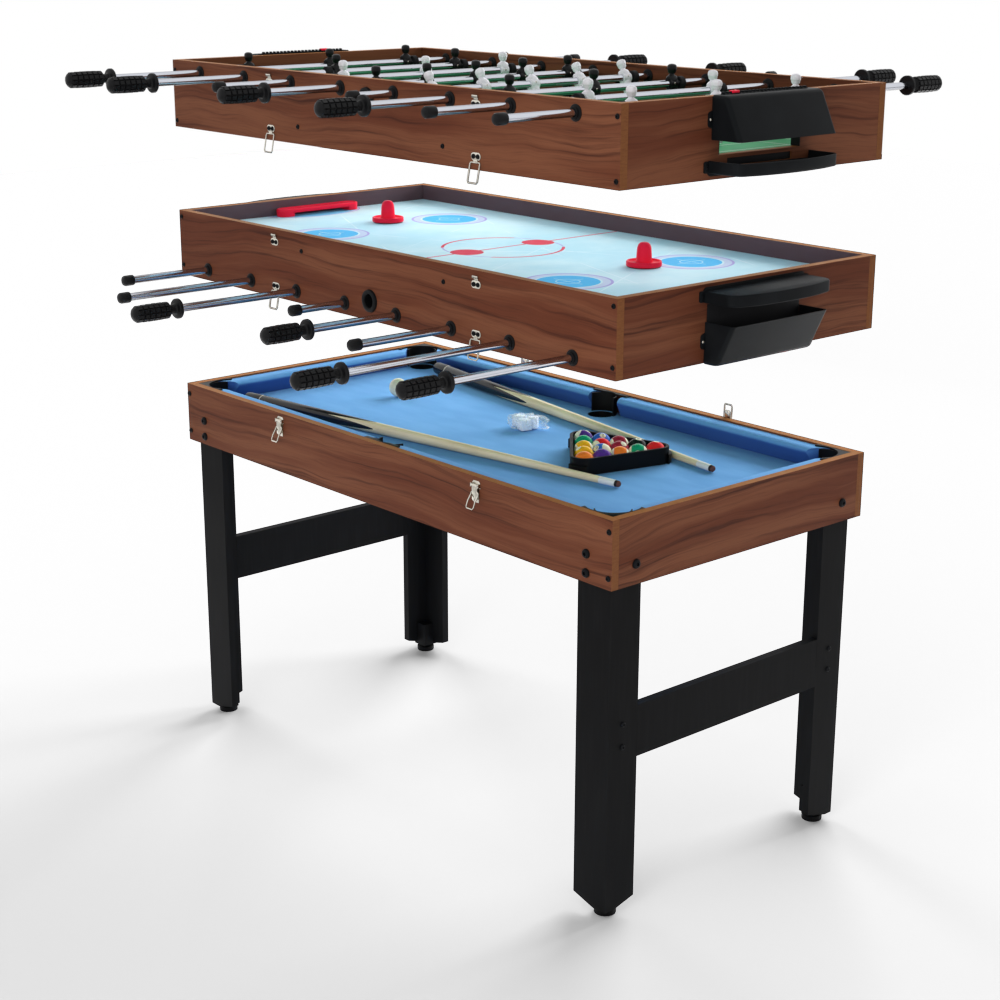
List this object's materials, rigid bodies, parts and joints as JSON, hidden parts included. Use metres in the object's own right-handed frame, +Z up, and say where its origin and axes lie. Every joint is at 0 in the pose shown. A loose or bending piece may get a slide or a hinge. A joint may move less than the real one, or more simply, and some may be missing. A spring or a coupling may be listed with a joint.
{
  "type": "multi game table",
  "caption": "Rectangular pool table on black legs with a hockey box and a table football box raised over it, each with sliding rods, goals and ball trays.",
  "frame": {"origin": "on the floor, under the middle of the whole object's length and of its rods' span", "axes": "+X along the table to the end nearer the camera, +Y across it from the front long side to the rear, +Z up"},
  "size_m": [1.366, 1.3608, 1.344],
  "materials": {
    "walnut_laminate": "satin walnut-pattern laminate",
    "black_board": "satin black laminate",
    "blue_cloth": "board covered with blue billiard cloth",
    "navy_cushion": "cloth-covered cushions with black pocket castings",
    "rink_print": "smooth printed board",
    "field_print": "smooth printed board",
    "black_plastic": "satin moulded plastic",
    "black_rubber": "matt",
    "chrome": "polished",
    "nickel": "nickel-plated",
    "maple": "lacquered",
    "red_plastic": "glossy",
    "ball_resin": "polished resin",
    "ivory": "polished resin"
  },
  "bodies": {
    "table_base": {"front_apron": "walnut_laminate", "rear_apron": "walnut_laminate", "left_apron": "walnut_laminate", "right_apron": "walnut_laminate", "pool_bed": "blue_cloth", "cushion_rail": "navy_cushion", "front_left_leg": "black_board", "front_right_leg": "black_board", "rear_left_leg": "black_board", "rear_right_leg": "black_board", "left_brace": "black_board", "right_brace": "black_board", "racked_balls": "ball_resin", "cue_ball": "ivory", "front_cue": "maple", "rear_cue": "maple"},
    "hockey_box": {"hockey_front_panel": "walnut_laminate", "hockey_rear_panel": "walnut_laminate", "hockey_left_panel": "walnut_laminate", "hockey_right_panel": "walnut_laminate", "hockey_rink": "rink_print", "hockey_left_goal_unit": "black_plastic", "hockey_right_goal_unit": "black_plastic"},
    "foosball_box": {"foosball_front_panel": "walnut_laminate", "foosball_rear_panel": "walnut_laminate", "foosball_left_panel": "walnut_laminate", "foosball_right_panel": "walnut_laminate", "foosball_field": "field_print", "foosball_left_goal_unit": "black_plastic", "foosball_right_goal_unit": "black_plastic"},
    "hockey_rod_1": {"hockey_rod_1": "chrome"},
    "hockey_rod_2": {"hockey_rod_2": "chrome"},
    "hockey_rod_3": {"hockey_rod_3": "chrome"},
    "hockey_rod_4": {"hockey_rod_4": "chrome"},
    "hockey_rod_5": {"hockey_rod_5": "chrome"},
    "hockey_rod_6": {"hockey_rod_6": "chrome"},
    "hockey_rod_7": {"hockey_rod_7": "chrome"},
    "hockey_rod_8": {"hockey_rod_8": "chrome"},
    "foosball_slider_1": {"foosball_bumper_1": "black_rubber"},
    "foosball_rod_1": {"foosball_rod_1": "chrome"},
    "foosball_slider_2": {"foosball_bumper_2": "black_rubber"},
    "foosball_rod_2": {"foosball_rod_2": "chrome"},
    "foosball_slider_3": {"foosball_bumper_3": "black_rubber"},
    "foosball_rod_3": {"foosball_rod_3": "chrome"},
    "foosball_slider_4": {"foosball_bumper_4": "black_rubber"},
    "foosball_rod_4": {"foosball_rod_4": "chrome"},
    "foosball_slider_5": {"foosball_bumper_5": "black_rubber"},
    "foosball_rod_5": {"foosball_rod_5": "chrome"},
    "foosball_slider_6": {"foosball_bumper_6": "black_rubber"},
    "foosball_rod_6": {"foosball_rod_6": "chrome"},
    "foosball_slider_7": {"foosball_bumper_7": "black_rubber"},
    "foosball_rod_7": {"foosball_rod_7": "chrome"},
    "foosball_slider_8": {"foosball_bumper_8": "black_rubber"},
    "foosball_rod_8": {"foosball_rod_8": "chrome"},
    "front_left_latch": {"front_left_latch": "nickel"},
    "front_right_latch": {"front_right_latch": "nickel"},
    "rear_left_latch": {"rear_left_latch": "nickel"},
    "rear_right_latch": {"rear_right_latch": "nickel"},
    "left_pusher": {"left_pusher": "red_plastic"},
    "right_pusher": {"right_pusher": "red_plastic"}
  },
  "joints": [
    {"name": "hockey_lift", "type": "slide", "parent": "table_base", "child": "hockey_box", "axis": [0, 0, 1], "range_m": [-0.2195, 0]},
    {"name": "foosball_lift", "type": "slide", "parent": "hockey_box", "child": "foosball_box", "axis": [0, 0, 1], "range_m": [-0.1595, 0]},
    {"name": "hockey_rod_1_slide", "type": "slide", "parent": "hockey_box", "child": "hockey_rod_1", "axis": [0, 1, 0], "range_m": [-0.0431, 0.0983]},
    {"name": "hockey_rod_2_slide", "type": "slide", "parent": "hockey_box", "child": "hockey_rod_2", "axis": [0, 1, 0], "range_m": [-0.0093, 0.2221]},
    {"name": "hockey_rod_3_slide", "type": "slide", "parent": "hockey_box", "child": "hockey_rod_3", "axis": [0, 1, 0], "range_m": [-0.0028, 0.1386]},
    {"name": "hockey_rod_4_slide", "type": "slide", "parent": "hockey_box", "child": "hockey_rod_4", "axis": [0, 1, 0], "range_m": [-0.0167, 0.0528]},
    {"name": "hockey_rod_5_slide", "type": "slide", "parent": "hockey_box", "child": "hockey_rod_5", "axis": [0, 1, 0], "range_m": [-0.0028, 0.0667]},
    {"name": "hockey_rod_6_slide", "type": "slide", "parent": "hockey_box", "child": "hockey_rod_6", "axis": [0, 1, 0], "range_m": [-0.0219, 0.1195]},
    {"name": "hockey_rod_7_slide", "type": "slide", "parent": "hockey_box", "child": "hockey_rod_7", "axis": [0, 1, 0], "range_m": [-0.022, 0.2094]},
    {"name": "hockey_rod_8_slide", "type": "slide", "parent": "hockey_box", "child": "hockey_rod_8", "axis": [0, 1, 0], "range_m": [-0.0028, 0.1386]},
    {"name": "foosball_rod_1_slide", "type": "slide", "parent": "foosball_box", "child": "foosball_slider_1", "axis": [0, 1, 0], "range_m": [-0.0643, 0.0771]},
    {"name": "foosball_rod_1_spin", "type": "hinge", "parent": "foosball_slider_1", "child": "foosball_rod_1", "pos_m": [-0.51, 0.0387, 1.31], "axis": [0, 1, 0], "continuous": true},
    {"name": "foosball_rod_2_slide", "type": "slide", "parent": "foosball_box", "child": "foosball_slider_2", "axis": [0, 1, 0], "range_m": [-0.1631, 0.0683]},
    {"name": "foosball_rod_2_spin", "type": "hinge", "parent": "foosball_slider_2", "child": "foosball_rod_2", "pos_m": [-0.3643, 0.0925, 1.31], "axis": [0, 1, 0], "continuous": true},
    {"name": "foosball_rod_3_slide", "type": "slide", "parent": "foosball_box", "child": "foosball_slider_3", "axis": [0, 1, 0], "range_m": [-0.0707, 0.0707]},
    {"name": "foosball_rod_3_spin", "type": "hinge", "parent": "foosball_slider_3", "child": "foosball_rod_3", "pos_m": [-0.2186, 0.0451, 1.31], "axis": [0, 1, 0], "continuous": true},
    {"name": "foosball_rod_4_slide", "type": "slide", "parent": "foosball_box", "child": "foosball_slider_4", "axis": [0, 1, 0], "range_m": [-0.0326, 0.0368]},
    {"name": "foosball_rod_4_spin", "type": "hinge", "parent": "foosball_slider_4", "child": "foosball_rod_4", "pos_m": [-0.0729, 0.043, 1.31], "axis": [0, 1, 0], "continuous": true},
    {"name": "foosball_rod_5_slide", "type": "slide", "parent": "foosball_box", "child": "foosball_slider_5", "axis": [0, 1, 0], "range_m": [-0.0399, 0.0295]},
    {"name": "foosball_rod_5_spin", "type": "hinge", "parent": "foosball_slider_5", "child": "foosball_rod_5", "pos_m": [0.0729, 0.0503, 1.31], "axis": [0, 1, 0], "continuous": true},
    {"name": "foosball_rod_6_slide", "type": "slide", "parent": "foosball_box", "child": "foosball_slider_6", "axis": [0, 1, 0], "range_m": [-0.082, 0.0594]},
    {"name": "foosball_rod_6_spin", "type": "hinge", "parent": "foosball_slider_6", "child": "foosball_rod_6", "pos_m": [0.2186, 0.0564, 1.31], "axis": [0, 1, 0], "continuous": true},
    {"name": "foosball_rod_7_slide", "type": "slide", "parent": "foosball_box", "child": "foosball_slider_7", "axis": [0, 1, 0], "range_m": [-0.1192, 0.1122]},
    {"name": "foosball_rod_7_spin", "type": "hinge", "parent": "foosball_slider_7", "child": "foosball_rod_7", "pos_m": [0.3643, 0.0486, 1.31], "axis": [0, 1, 0], "continuous": true},
    {"name": "foosball_rod_8_slide", "type": "slide", "parent": "foosball_box", "child": "foosball_slider_8", "axis": [0, 1, 0], "range_m": [-0.0707, 0.0707]},
    {"name": "foosball_rod_8_spin", "type": "hinge", "parent": "foosball_slider_8", "child": "foosball_rod_8", "pos_m": [0.51, 0.0451, 1.31], "axis": [0, 1, 0], "continuous": true},
    {"name": "front_left_latch_hinge", "type": "hinge", "parent": "table_base", "child": "front_left_latch", "pos_m": [-0.283, -0.2632, 0.686], "axis": [-1, 0, 0], "range_deg": [0, 180]},
    {"name": "rear_left_latch_hinge", "type": "hinge", "parent": "table_base", "child": "rear_left_latch", "pos_m": [-0.283, 0.3534, 0.686], "axis": [-1, 0, 0], "range_deg": [0, 180]},
    {"name": "front_right_latch_hinge", "type": "hinge", "parent": "table_base", "child": "front_right_latch", "pos_m": [0.283, -0.2632, 0.686], "axis": [-1, 0, 0], "range_deg": [0, 180]},
    {"name": "rear_right_latch_hinge", "type": "hinge", "parent": "table_base", "child": "rear_right_latch", "pos_m": [0.283, 0.3534, 0.686], "axis": [-1, 0, 0], "range_deg": [0, 180]},
    {"name": "left_pusher_slide", "type": "slide", "parent": "hockey_box", "child": "left_pusher", "axis": [1, 0, 0], "range_m": [-0.146, 0.346]},
    {"name": "right_pusher_slide", "type": "slide", "parent": "hockey_box", "child": "right_pusher", "axis": [1, 0, 0], "range_m": [-0.278, 0.214]}
  ]
}
